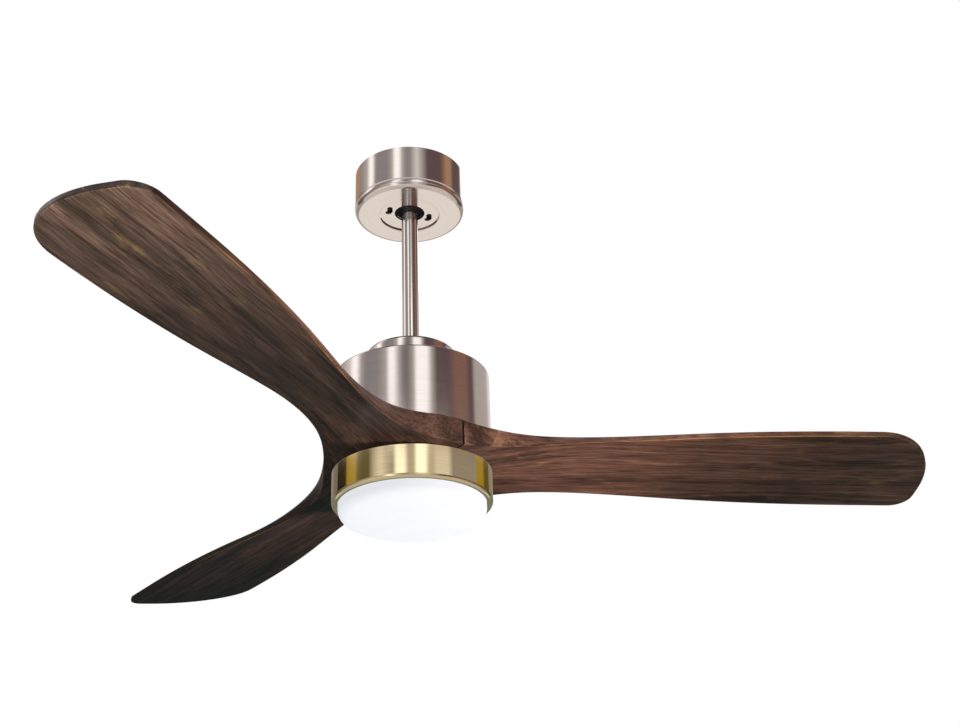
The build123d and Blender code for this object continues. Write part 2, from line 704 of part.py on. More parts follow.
def blade_plan():
    """Blade outline from above: seams, notched root, waisted edges, a broad and a tight tip corner."""
    seam = radians(180 / BLADE_COUNT)
    inner_s = SEAM_W / 2 / sin(seam) + ROOT_HOLE_R * cos(seam)
    inner_w = ROOT_HOLE_R * sin(seam)
    inner_mid = (SEAM_W / 2 / sin(seam) + ROOT_HOLE_R, 0)
    low_side = low_edge()
    high_side = mirror(low_side, about=Plane.XZ)
    corner_s = SWEEP_R - TIP_CORNER_R
    corner_w = WIDE_HALF - TIP_CORNER_R
    edges = [low_side, high_side,
             Line((inner_s, inner_w), low_side @ 0), Line((inner_s, -inner_w), high_side @ 0),
             ThreePointArc((inner_s, -inner_w), inner_mid, (inner_s, inner_w)),
             Line((WIDE_S, WIDE_HALF), (corner_s, WIDE_HALF)),
             CenterArc((corner_s, corner_w), TIP_CORNER_R, 0, 90),
             Line((SWEEP_R, corner_w), (SWEEP_R, TIP_CREST_W)),
             EllipticalCenterArc((WIDE_S, TIP_CREST_W), TIP_LONG, WIDE_HALF + TIP_CREST_W, 270, arc_size=90)]
    return make_face(edges)


def blade_screw_places():
    """Screw places of the blade that points along +X."""
    outer = [Rot(0, 0, side * BLADE_SCREW_SPREAD) * Pos(BLADE_SCREW_OUTER_R, 0, 0) for side in (-1, 1)]
    return [Pos(BLADE_SCREW_INNER_R, 0, 0)] + outer


def blade_turns():
    return [Rot(0, 0, 360 * i / BLADE_COUNT) for i in range(BLADE_COUNT)]


def blade_screw_holes(low, high):
    """Holes for all blade screws between two levels."""
    hole = disc(LARGE_SCREW[0] + SCREW_FIT, low, high)
    return [turn * place * hole for turn in blade_turns() for place in blade_screw_places()]


def blade():
    """The blade that points along +X."""
    inside = SEAM_W
    twisted = [TWIST_START_S + (LOW_EDGE_END_S - TWIST_START_S) * i / BLADE_LOFT_STATIONS
               for i in range(BLADE_LOFT_STATIONS + 1)]
    stations = [inside, TWIST_START_S / 2] + twisted + [MID_S, (MID_S + WIDE_S) / 2, WIDE_S, SWEEP_R + SEAM_W]
    body = loft([blade_section(s) for s in stations], ruled=True)
    body &= upright(blade_plan(), ROOT_LOW - ROOT_T, HUB_LOW + ROOT_T)
    hole = disc(LARGE_SCREW[0] + SCREW_FIT, ROOT_LOW, HUB_LOW)
    for place in blade_screw_places():
        body -= place * hole
    return body


def blade_clamp():
    clamp = tube(CLAMP_R, ROOT_HOLE_R, ROOT_LOW - CLAMP_T, ROOT_LOW)
    for hole in blade_screw_holes(ROOT_LOW - CLAMP_T, ROOT_LOW):
        clamp -= hole
    return clamp


def blade_screws():
    seat = ROOT_LOW - CLAMP_T
    up = Pos(0, 0, seat) * screw(LARGE_SCREW, HUB_TOP - seat)
    return group([turn * place * up for turn in blade_turns() for place in blade_screw_places()])


def light_plate():
    plate = tube(RING_IN_R - APART, SHAFT_R + RUN_FIT, LIGHT_PLATE_LOW, LIGHT_PLATE_TOP)
    hole = disc(SMALL_SCREW[0] + SCREW_FIT, LIGHT_PLATE_LOW, LIGHT_PLATE_TOP)
    for copy in around(hole, ring_lug_pitch_r(), 3, 60):
        plate -= copy
    return plate


def light_nuts():
    upper = hex_nut(SHAFT_NUT_R, SHAFT_R, LIGHT_PLATE_TOP, LIGHT_PLATE_TOP + SHAFT_NUT_H)
    return group([upper, hex_nut(SHAFT_NUT_R, SHAFT_R, SHAFT_LOW, LIGHT_PLATE_LOW)])


def led_driver():
    box = block(DRIVER_LENGTH, DRIVER_WIDTH, LIGHT_PLATE_LOW - DRIVER_H, LIGHT_PLATE_LOW)
    return Pos(DRIVER_START + DRIVER_LENGTH / 2, 0, 0) * box


def led_standoffs():
    post = disc(BOARD_STANDOFF_R, LED_BOARD_TOP, LIGHT_PLATE_LOW)
    return group(around(post, LED_STANDOFF_PITCH_R, 3, 60))


def led_board():
    return tube(LED_BOARD_R, LED_BOARD_HOLE_R, LED_BOARD_LOW, LED_BOARD_TOP)


def led_chips():
    chip = block(LED_SIZE, LED_SIZE, LED_BOARD_LOW - LED_T, LED_BOARD_LOW)
    outer = around(chip, LED_OUTER_RING_R, LED_OUTER_COUNT)
    return group(outer + around(chip, LED_INNER_RING_R, LED_INNER_COUNT))


def lens_holder():
    holder = tube(HOLDER_R, HOLDER_R - HOLDER_WALL, HOLDER_LOW, LIGHT_PLATE_LOW)
    tab_plan = sector(LENS_IN_R - APART, HOLDER_R - HOLDER_WALL / 2, BAYONET_TAB_ANGLE)
    tab = upright(tab_plan, HOLDER_LOW, TAB_TOP)
    for copy in around(tab, 0, BAYONET_COUNT):
        holder += copy
    return holder


def ring_lug_pitch_r():
    return (LENS_R + RING_IN_R) / 2 - 2


def light_ring():
    wall = RING_WALL
    lip_r = LENS_R + 2 * APART
    outline = [(RING_R, RING_TOP), (RING_R, RING_LOW), (lip_r, RING_LOW), (lip_r, RING_LOW + wall),
               (RING_IN_R, RING_LOW + wall), (RING_IN_R, RING_TOP)]
    ring = turned(outline, [0, RING_LIP_ROUND, 0, 0, RING_LIP_ROUND - wall, 0])
    lug_start = LENS_IN_R - BAYONET_T
    lug_length = RING_IN_R + wall / 2 - lug_start
    lug = block(lug_length, RING_LUG_W, LIGHT_PLATE_LOW - wall, LIGHT_PLATE_LOW)
    lug = Pos(lug_start + lug_length / 2, 0, 0) * lug
    hole = disc(SMALL_SCREW[0] + SCREW_FIT, LIGHT_PLATE_LOW - wall, LIGHT_PLATE_LOW)
    for copy in around(lug, 0, 3, 60):
        ring += copy
    for copy in around(hole, ring_lug_pitch_r(), 3, 60):
        ring -= copy
    return ring


def light_ring_screws():
    seat = LIGHT_PLATE_LOW - RING_WALL
    up = Pos(0, 0, seat) * screw(SMALL_SCREW, LIGHT_PLATE_TOP - seat)
    return group(around(up, ring_lug_pitch_r(), 3, 60))


def lens_bowl(radius, low, rounding):
    """Solid bowl up to the lens's rim, with a rounded lower corner and a shallow domed bottom."""
    corner, crown = (radius, low), (0, low - LENS_CROWN)
    rim, middle = (radius, LENS_TOP), (0, LENS_TOP)
    half = make_face([TangentArc(crown, corner, tangent=(1, 0)), Line(corner, rim), Line(rim, middle),
                      Line(middle, crown)])
    lower_corner = half.vertices().sort_by_distance(corner)[0]
    return revolve(Plane.XZ * fillet(lower_corner, rounding), Axis.Z)


def diffuser():
    lens = lens_bowl(LENS_R, LENS_LOW, LENS_ROUND)
    lens -= lens_bowl(LENS_IN_R, LENS_LOW + LENS_WALL, LENS_ROUND - LENS_WALL)
    lug_low = TAB_TOP + APART
    lug_plan = sector(LENS_IN_R + LENS_WALL / 2, HOLDER_R + APART, BAYONET_LUG_ANGLE)
    lug = upright(lug_plan, lug_low, lug_low + BAYONET_T)
    for copy in around(lug, 0, BAYONET_COUNT):
        lens += copy
    return lens


NODES = {
    "hanger_bracket": hanger_bracket(),
    "earth_screw": earth_screw(),
    "terminal_block": terminal_block(),
    "canopy_shell": canopy_shell(),
    "canopy_cover": canopy_cover(),
    "canopy_screws": canopy_screws(),
    "ball_seat": ball_seat(),
    "hanger_ball": hanger_ball(),
    "ball_pin": cross_pin(BALL_PIN_LENGTH, ball_pin_z()),
    "ball_set_screw": ball_set_screw(),
    "downrod": downrod(),
    "motor_leads": motor_leads(),
    "yoke": yoke(),
    "yoke_pin": cross_pin(2 * YOKE_R, YOKE_PIN_Z),
    "yoke_set_screws": group(yoke_set_screw_bars(LARGE_SCREW[0])),
    "yoke_cover": yoke_cover(),
    "motor_housing": motor_housing(),
    "flange_screws": flange_screws(),
    "flange_nuts": flange_nuts(),
    "board_standoffs": board_standoffs(),
    "control_board": control_board(),
    "board_capacitors": board_capacitors(),
    "board_connectors": board_connectors(),
    "motor_shaft": motor_shaft(),
    "stator_core": stator_core(),
    "stator_windings": stator_windings(),
    "rotor_magnets": rotor_magnets(),
    "rotor_case": rotor_case(),
    "rotor_cover": rotor_cover(),
    "rotor_screws": rotor_screws(),
    "bearing_inner_races": bearing_inner_races(),
    "bearing_outer_races": bearing_outer_races(),
    "bearing_balls": bearing_balls(),
    "bearing_nut": bearing_nut(),
    "blade_clamp": blade_clamp(),
    "blade_screws": blade_screws(),
    "light_plate": light_plate(),
    "light_nuts": light_nuts(),
    "led_driver": led_driver(),
    "led_standoffs": led_standoffs(),
    "led_board": led_board(),
    "led_chips": led_chips(),
    "lens_holder": lens_holder(),
    "light_ring": light_ring(),
    "light_ring_screws": light_ring_screws(),
    "light_lead": light_lead(),
    "diffuser": diffuser(),
}
one_blade = blade()
for number, turn in enumerate(blade_turns(), start=1):
    NODES[f"blade_{number}"] = turn * one_blade

os.makedirs("parts", exist_ok=True)
for name, shape in NODES.items():
    export_step(shape, f"parts/{name}.step")
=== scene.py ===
from math import cos, pi, radians, sin, sqrt

import bpy
import numpy as np
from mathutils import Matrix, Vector


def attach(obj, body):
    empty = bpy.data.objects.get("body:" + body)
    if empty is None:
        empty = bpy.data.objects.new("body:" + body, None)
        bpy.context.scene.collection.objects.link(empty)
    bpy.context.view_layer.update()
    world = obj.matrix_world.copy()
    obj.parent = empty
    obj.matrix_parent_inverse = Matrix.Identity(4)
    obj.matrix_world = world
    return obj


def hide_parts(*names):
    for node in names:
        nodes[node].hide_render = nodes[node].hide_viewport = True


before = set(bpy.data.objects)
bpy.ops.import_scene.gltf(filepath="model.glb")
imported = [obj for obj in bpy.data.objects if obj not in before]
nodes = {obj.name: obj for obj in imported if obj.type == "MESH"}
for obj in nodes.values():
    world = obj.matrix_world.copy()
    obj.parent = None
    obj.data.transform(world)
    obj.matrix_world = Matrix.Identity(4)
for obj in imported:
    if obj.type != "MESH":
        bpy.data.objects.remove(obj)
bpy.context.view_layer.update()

# Hanger bracket with its earth screw and terminal block: a strap of zinc plated steel, bent and
# pierced, screwed to the ceiling box. The nylon seat liner sits in its cup under the ball.


def add_node(tree, kind, inputs=(), **settings):
    """Adds a shader node, sets its properties, and sets or links its inputs by name or number."""
    node = tree.nodes.new(kind)
    for key, value in settings.items():
        setattr(node, key, value)
    for key, value in dict(inputs).items():
        if isinstance(value, bpy.types.NodeSocket):
            tree.links.new(value, node.inputs[key])
        else:
            node.inputs[key].default_value = value
    return node


def new_finish(name, metallic, **sockets):
    """New material with its node tree and principled shader, whose plain sockets are set by name."""
    finish = bpy.data.materials.new(name)
    finish.use_nodes = True
    shader = finish.node_tree.nodes["Principled BSDF"]
    shader.inputs["Metallic"].default_value = metallic
    for key, value in sockets.items():
        shader.inputs[key.replace("_", " ")].default_value = value
    return finish, finish.node_tree, shader


def tones(tree, factor, stops):
    """Colour ramp from a list of (place, red, green, blue) stops."""
    ramp = add_node(tree, "ShaderNodeValToRGB", {"Fac": factor})
    while len(ramp.color_ramp.elements) < len(stops):
        ramp.color_ramp.elements.new(0.5)
    for element, (place, *colour) in zip(ramp.color_ramp.elements, stops):
        element.position = place
        element.color = (*colour, 1)
    return ramp.outputs["Color"]


def spread(tree, value, low, high):
    """Value between 0 and 1 spread over a range."""
    node = add_node(tree, "ShaderNodeMapRange", {"Value": value, "To Min": low, "To Max": high})
    return node.outputs["Result"]


def raised(tree, height, depth, strength=1.0):
    """Normal of a surface raised by a height between 0 and 1 times a depth in metres."""
    node = add_node(tree, "ShaderNodeBump", {"Strength": strength, "Distance": depth, "Height": height})
    return node.outputs["Normal"]


def noise(tree, where, scale, detail):
    """Soft noise between 0 and 1, with a number of cells a metre and a depth of finer detail."""
    node = add_node(tree, "ShaderNodeTexNoise", {"Vector": where, "Scale": scale, "Detail": detail})
    return node.outputs["Fac"]


def mottled(name, dark, light, metallic, roughness, scale, stretch=(1, 1, 1), depth=2e-5):
    """Surface that wanders between two tones with a stretched noise, with the gloss and grain to match."""
    finish, tree, shader = new_finish(name, metallic)
    where = add_node(tree, "ShaderNodeTexCoord").outputs["Object"]
    grain = add_node(tree, "ShaderNodeMapping", {"Vector": where, "Scale": stretch}).outputs["Vector"]
    coarse, fine = noise(tree, grain, scale, 5.0), noise(tree, grain, 14 * scale, 3.0)
    tree.links.new(tones(tree, coarse, [(0.3, *dark), (0.7, *light)]), shader.inputs["Base Color"])
    tree.links.new(spread(tree, fine, roughness - 0.08, roughness + 0.08), shader.inputs["Roughness"])
    tree.links.new(raised(tree, fine, depth), shader.inputs["Normal"])
    return finish


def dress(finish, *names):
    """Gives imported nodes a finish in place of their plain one."""
    for name in names:
        nodes[name].data.materials.clear()
        nodes[name].data.materials.append(finish)


zinc_plate = mottled("zinc_plate", (0.36, 0.37, 0.38), (0.58, 0.58, 0.57), 1.0, 0.34, 90)
screw_steel = mottled("screw_steel", (0.42, 0.42, 0.41), (0.62, 0.61, 0.58), 1.0, 0.3, 240)
white_nylon = mottled("white_nylon", (0.74, 0.74, 0.71), (0.85, 0.85, 0.83), 0.0, 0.48, 120)
dress(zinc_plate, "hanger_bracket")
dress(screw_steel, "earth_screw")
dress(white_nylon, "terminal_block", "ball_seat")

# Canopy: a cup of sheet steel spun on a lathe, with a groove above its rounded lip and a round recess in
# its underside, nickel plated and brushed round its axis. The ledge in the recess rests on the cover.
CANOPY = 0.0725
CANOPY_DEEP = 0.061
LIP_TALL = 0.0105
LIP_OUT = 0.0008
LIP_ROUND = 0.008
SHEET = 0.0012
GROOVE = 0.0022
RECESS = 0.0395
RECESS_DEEP = 0.0038
RECESS_EDGE = 0.001
LEDGE = 0.006
COVER = 0.0016
EASED = 0.00025
LEAD = 0.0001


def rounded(corners, radii, steps=9):
    """Closed outline with its corners rounded: each arc turns about a centre on the corner's bisector,
    from the point where it leaves one side to the point where it joins the next, by spherical blending.
    A point close before and after each arc keeps the straight sides flat to the light."""
    corners = np.array(corners, float)
    radii = np.maximum(np.array(radii, float), EASED)
    back = np.roll(corners, 1, 0) - corners
    on = np.roll(corners, -1, 0) - corners
    back /= np.linalg.norm(back, axis=1, keepdims=True)
    on /= np.linalg.norm(on, axis=1, keepdims=True)
    opening = np.arccos(np.clip((back * on).sum(1), -1, 1))
    bisector = (back + on) / np.linalg.norm(back + on, axis=1, keepdims=True)
    centre = corners + bisector * (radii / np.sin(opening / 2))[:, None]
    cut = (radii / np.tan(opening / 2))[:, None]
    first, last = corners + back * cut - centre, corners + on * cut - centre
    turn = (pi - opening)[:, None, None]
    share = np.linspace(0, 1, steps)[None, :, None]
    arc = (np.sin((1 - share) * turn) * first[:, None] + np.sin(share * turn) * last[:, None]) / np.sin(turn)
    before, after = corners + back * (cut + LEAD), corners + on * (cut + LEAD)
    return np.concatenate([before[:, None], centre[:, None] + arc, after[:, None]], 1).reshape(-1, 2)


def new_piece(name, points, faces, finish, slot, body, crease=35):
    """Mesh object at the origin with smooth faces, creased where they meet at more than an angle."""
    mesh = bpy.data.meshes.new(name)
    mesh.from_pydata(points.tolist(), [], faces.tolist())
    mesh.shade_smooth()
    mesh.set_sharp_from_angle(angle=radians(crease))
    mesh.materials.append(finish)
    piece = bpy.data.objects.new(name, mesh)
    bpy.context.collection.objects.link(piece)
    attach(piece, body)
    return piece


def turned(outline, count=288):
    """Outline carried round the Z axis: the point (r, z) at turn t lies at (r cos t, r sin t, z).
    Each quad joins two outline points at two turns, and both ways round are closed."""
    outline = np.asarray(outline, float)
    r, z = outline.T
    if (r * np.roll(z, -1) - np.roll(r, -1) * z).sum() < 0:
        r, z = r[::-1], z[::-1]
    t = np.linspace(0, 2 * pi, count, endpoint=False)
    points = np.stack([np.outer(r, np.cos(t)), np.outer(r, np.sin(t)), np.outer(z, np.ones(count))], -1)
    index = np.arange(r.size * count).reshape(r.size, count)
    on = np.roll(index, -1, 0)
    faces = np.stack([index, np.roll(index, -1, 1), np.roll(on, -1, 1), on], -1)
    return points.reshape(-1, 3), faces.reshape(-1, 4)


def brushed(name, dark, light, roughness, anisotropic, lines=2200.0):
    """Metal brushed on a lathe. A noise is read at the direction from the axis, which changes slowly, and
    at the height plus the radius times many lines a metre, so that its streaks run round the axis."""
    finish, tree, shader = new_finish(name, 1.0, Anisotropic=anisotropic, Anisotropic_Rotation=0.25)
    where = add_node(tree, "ShaderNodeTexCoord").outputs["Object"]
    flat = add_node(tree, "ShaderNodeVectorMath", {0: where, 1: (1, 1, 0)}, operation="MULTIPLY").outputs[0]
    outward = add_node(tree, "ShaderNodeVectorMath", {0: flat}, operation="NORMALIZE").outputs[0]
    radius = add_node(tree, "ShaderNodeVectorMath", {0: flat}, operation="LENGTH").outputs["Value"]
    height = add_node(tree, "ShaderNodeSeparateXYZ", {0: where}).outputs["Z"]
    across = add_node(tree, "ShaderNodeMath", {0: radius, 1: height}, operation="ADD").outputs[0]
    across = add_node(tree, "ShaderNodeMath", {0: across, 1: lines}, operation="MULTIPLY").outputs[0]
    line_place = add_node(tree, "ShaderNodeCombineXYZ", {"Z": across}).outputs[0]
    streak_place = add_node(tree, "ShaderNodeVectorMath", {0: outward, 1: (1.2, 1.2, 0), 2: line_place},
                            operation="MULTIPLY_ADD").outputs[0]
    streaks = add_node(tree, "ShaderNodeTexNoise", {"Vector": streak_place, "Scale": 1.0, "Detail": 4.0,
                                                    "Roughness": 0.7}).outputs["Fac"]
    smudges = noise(tree, where, 28.0, 3.0)
    both = add_node(tree, "ShaderNodeMix", {"Factor": 0.35, "A": streaks, "B": smudges}).outputs["Result"]
    tree.links.new(tones(tree, streaks, [(0.3, *dark), (0.7, *light)]), shader.inputs["Base Color"])
    tree.links.new(spread(tree, both, roughness - 0.05, roughness + 0.05), shader.inputs["Roughness"])
    tangent = add_node(tree, "ShaderNodeTangent", direction_type="RADIAL", axis="Z").outputs["Tangent"]
    tree.links.new(tangent, shader.inputs["Tangent"])
    return finish


satin_nickel = brushed("satin_nickel", (0.62, 0.57, 0.54), (0.7, 0.65, 0.62), 0.15, 0.55)
lip_top = LIP_TALL - CANOPY_DEEP
lip = CANOPY + LIP_OUT
groove = CANOPY - GROOVE
floor_in = SHEET - CANOPY_DEEP
ledge_low = RECESS_DEEP + COVER - CANOPY_DEEP
ledge_top = ledge_low + SHEET
canopy_outline = rounded(
    [(CANOPY, 0), (CANOPY, lip_top + GROOVE), (groove, lip_top), (lip, lip_top), (lip, -CANOPY_DEEP),
     (RECESS, -CANOPY_DEEP), (RECESS, ledge_low), (RECESS - LEDGE, ledge_low), (RECESS - LEDGE, ledge_top),
     (RECESS + SHEET, ledge_top), (RECESS + SHEET, floor_in), (lip - SHEET, floor_in),
     (lip - SHEET, lip_top - SHEET), (groove - SHEET, lip_top - SHEET), (groove - SHEET, lip_top),
     (CANOPY - SHEET, lip_top + GROOVE), (CANOPY - SHEET, 0)],
    [0, 0, 0, LIP_OUT, LIP_ROUND, RECESS_EDGE, 0, 0, 0, 0, 0, LIP_ROUND - SHEET, 0, 0, 0, 0, 0])
canopy = new_piece("canopy_cup", *turned(canopy_outline), satin_nickel, "brushed_nickel", "ceiling")
canopy.visible_glossy = False
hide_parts("canopy_shell")

# Canopy cover: a nickel plate pressed with two keyholes, sunk in the recess under the canopy's ledge. The
# two screws through it hold the canopy up to the bracket.
dress(satin_nickel, "canopy_cover")
nodes["canopy_cover"].visible_glossy = False
black_steel = mottled("black_steel", (0.03, 0.028, 0.028), (0.08, 0.075, 0.072), 1.0, 0.3, 240)
dress(black_steel, "canopy_screws")

# Hanger ball: moulded black nylon on the rod's top end. A steel cross pin through the rod carries the
# fan's weight, and a set screw stops the ball from turning.
black_nylon = mottled("black_nylon", (0.012, 0.012, 0.013), (0.024, 0.024, 0.025), 0.0, 0.42, 150, depth=4e-5)
dress(black_nylon, "hanger_ball")
dress(screw_steel, "ball_pin", "ball_set_screw")

# Downrod: half-inch steel pipe, nickel plated and polished, with the motor's leads inside. The cross
# pins at its ends hold it in the ball and in the yoke.
ROD = 0.01065
ROD_WALL = 0.0026
ROD_TOP = -0.012
ROD_LOW = -0.294
polished_nickel = brushed("polished_nickel", (0.64, 0.6, 0.57), (0.72, 0.68, 0.65), 0.12, 0.4, lines=900.0)
rod_outline = rounded([(ROD, ROD_LOW), (ROD, ROD_TOP), (ROD - ROD_WALL, ROD_TOP), (ROD - ROD_WALL, ROD_LOW)],
                      4 * [0])
rod = new_piece("polished_rod", *turned(rod_outline, 128), polished_nickel, "polished_nickel", "hanging")
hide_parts("downrod")
sheathed = mottled("lead_sheath", (0.03, 0.03, 0.03), (0.06, 0.06, 0.06), 0.0, 0.5, 200)
dress(sheathed, "motor_leads")

# Collar over the yoke: a shallow spun nickel cap that slides down the rod onto the motor drum. The
# yoke under it is cast aluminium, with its pin and set screws.
COLLAR = 0.057
COLLAR_TOP = -0.2715
COLLAR_HOLE = 0.01125
COLLAR_ROUND = 0.004
DRUM_TOP = -0.306
brushed_nickel = brushed("brushed_nickel", (0.58, 0.53, 0.51), (0.7, 0.65, 0.63), 0.13, 0.5)
collar_outline = rounded([(COLLAR, DRUM_TOP), (COLLAR, COLLAR_TOP), (COLLAR_HOLE, COLLAR_TOP),
                          (COLLAR_HOLE, COLLAR_TOP - SHEET), (COLLAR - SHEET, COLLAR_TOP - SHEET),
                          (COLLAR - SHEET, DRUM_TOP)], [0, COLLAR_ROUND, 0, 0, COLLAR_ROUND - SHEET, 0])
collar = new_piece("collar_cap", *turned(collar_outline), brushed_nickel, "brushed_nickel", "hanging")
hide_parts("yoke_cover")
cast_aluminium = mottled("cast_aluminium", (0.56, 0.56, 0.57), (0.72, 0.72, 0.73), 1.0, 0.42, 160, depth=6e-5)
dress(cast_aluminium, "yoke")
dress(screw_steel, "yoke_pin", "yoke_set_screws")

# Motor drum: a deep cup of spun steel, nickel plated and brushed, hung from the yoke's flange by four
# screws and nuts.
DRUM = 0.098
DRUM_LOW = -0.3975
DRUM_WALL = 0.0015
DRUM_HOLE = 0.0088
DRUM_ROUND = 0.0025
DRUM_EDGE = 0.0004
drum_inside = DRUM_TOP - DRUM_WALL
drum_outline = rounded([(DRUM, DRUM_LOW), (DRUM, DRUM_TOP), (DRUM_HOLE, DRUM_TOP), (DRUM_HOLE, drum_inside),
                        (DRUM - DRUM_WALL, drum_inside), (DRUM - DRUM_WALL, DRUM_LOW)],
                       [DRUM_EDGE, DRUM_ROUND, 0, 0, DRUM_ROUND - DRUM_WALL, DRUM_EDGE])
drum = new_piece("motor_drum", *turned(drum_outline), brushed_nickel, "brushed_nickel", "hanging")
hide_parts("motor_housing")
dress(screw_steel, "flange_screws", "flange_nuts", "board_standoffs", "bearing_nut")

# Inside the drum: the control board, the fixed hollow shaft with stator and windings, and the turning
# case with its magnets on two ball bearings.
solder_mask = mottled("solder_mask", (0.03, 0.16, 0.07), (0.06, 0.24, 0.11), 0.0, 0.36, 60)
capacitor_sleeve = mottled("capacitor_sleeve", (0.02, 0.022, 0.03), (0.045, 0.05, 0.06), 0.0, 0.3, 80)
laminations = mottled("laminations", (0.3, 0.3, 0.32), (0.48, 0.48, 0.5), 1.0, 0.4, 60, stretch=(1, 1, 40))
enamel_copper = mottled("enamel_copper", (0.5, 0.2, 0.08), (0.74, 0.36, 0.17), 1.0, 0.28, 120,
                        stretch=(1, 1, 12))
sintered_magnet = mottled("sintered_magnet", (0.06, 0.06, 0.06), (0.14, 0.14, 0.14), 1.0, 0.5, 300,
                          depth=5e-5)
ground_steel = mottled("ground_steel", (0.6, 0.6, 0.61), (0.75, 0.75, 0.76), 1.0, 0.18, 90)
dress(solder_mask, "control_board")
dress(capacitor_sleeve, "board_capacitors")
dress(white_nylon, "board_connectors")
dress(ground_steel, "motor_shaft", "bearing_inner_races", "bearing_outer_races", "bearing_balls")
dress(laminations, "stator_core")
dress(enamel_copper, "stator_windings")
dress(sintered_magnet, "rotor_magnets")
# The turning case and its cover are cast aluminium. Their black is painted shade, for the dark gap seen
# between the drum and the blades.
gap_shade_black = mottled("gap_shade_black", (0.012, 0.012, 0.012), (0.022, 0.022, 0.022), 0.0, 0.55, 120)
dress(gap_shade_black, "rotor_case", "rotor_cover")
dress(screw_steel, "rotor_screws")

# Blades: carved from laminated walnut, stained dark under satin lacquer. Each has a thick flat root,
# one third of the hub, that twists into a thin pitched paddle, and three screws clamp it to the rotor.
SWEEP = 0.66
NOTCH = 0.107
ROOT_HOLE = 0.024
ROOT_TOP = -0.4035
ROOT_LOW = -0.4345
SEAM = 0.0024
BLADE = 0.007
WIDEST = 0.571
TIP_CREST = 0.042
TIP_CORNER = 0.026
HALF_WIDE = 0.0835
SOFT_EDGE = 0.0016
CRISP_EDGE = 0.0005
TWIST_START = 0.05
TOP_START = 0.08
HIGH_END = 0.24
LOW_END = 0.3
HIGH_DROP = 0.0005
LOW_DROP = 0.0023
BOW_RUN = 0.13
# Depth in from the rim and half width of the thin band of painted highlight on the blades' rounded edge.
RIM_HIGHLIGHT_INSIDE = 0.0009
RIM_HIGHLIGHT_HALF = 0.0008


def eased(s, start, end, first, last):
    """Quarter sine that leaves the first value at start and settles on the last at end."""
    return first + (last - first) * np.sin(np.clip((s - start) / (end - start), 0, 1) * pi / 2)


def half_width(s):
    """Smooth curve through five widths along the blade. The second derivatives at the five places solve
    the spline's own equations, with the slope square to the seam at the notch and level at the widest."""
    at = np.array([NOTCH * cos(pi / 3), 0.12, 0.19, 0.354, WIDEST])
    half = np.array([NOTCH * sin(pi / 3), 0.0602, 0.052, 0.0703, HALF_WIDE])
    step, rise = np.diff(at), np.diff(half) / np.diff(at)
    rows = np.diag(np.r_[2 * step[0], 2 * (step[:-1] + step[1:]), 2 * step[-1]])
    rows += np.diag(step, 1) + np.diag(step, -1)
    bend = np.linalg.solve(rows, 6 * np.diff(np.r_[-1 / sqrt(3), rise, 0]))
    s = np.clip(s, at[0], at[-1])
    k = np.clip(np.searchsorted(at, s) - 1, 0, 3)
    a, b = (at[k + 1] - s) / step[k], (s - at[k]) / step[k]
    curve = (a ** 3 - a) * bend[k] + (b ** 3 - b) * bend[k + 1]
    return a * half[k] + b * half[k + 1] + curve * step[k] ** 2 / 6


def edges_at(s):
    """High and low edge of the outline at a distance from the axis. Past the widest part the high edge is
    a quarter ellipse, and near the tip the low edge is a quarter circle."""
    out = np.clip((s - WIDEST) / (SWEEP - WIDEST), 0, 1)
    corner = np.clip((s - SWEEP + TIP_CORNER) / TIP_CORNER, 0, 1)
    high = np.where(s < WIDEST, -half_width(s), TIP_CREST - (HALF_WIDE + TIP_CREST) * np.sqrt(1 - out ** 2))
    low = half_width(s) - TIP_CORNER * (1 - np.sqrt(1 - corner ** 2))
    return high, low


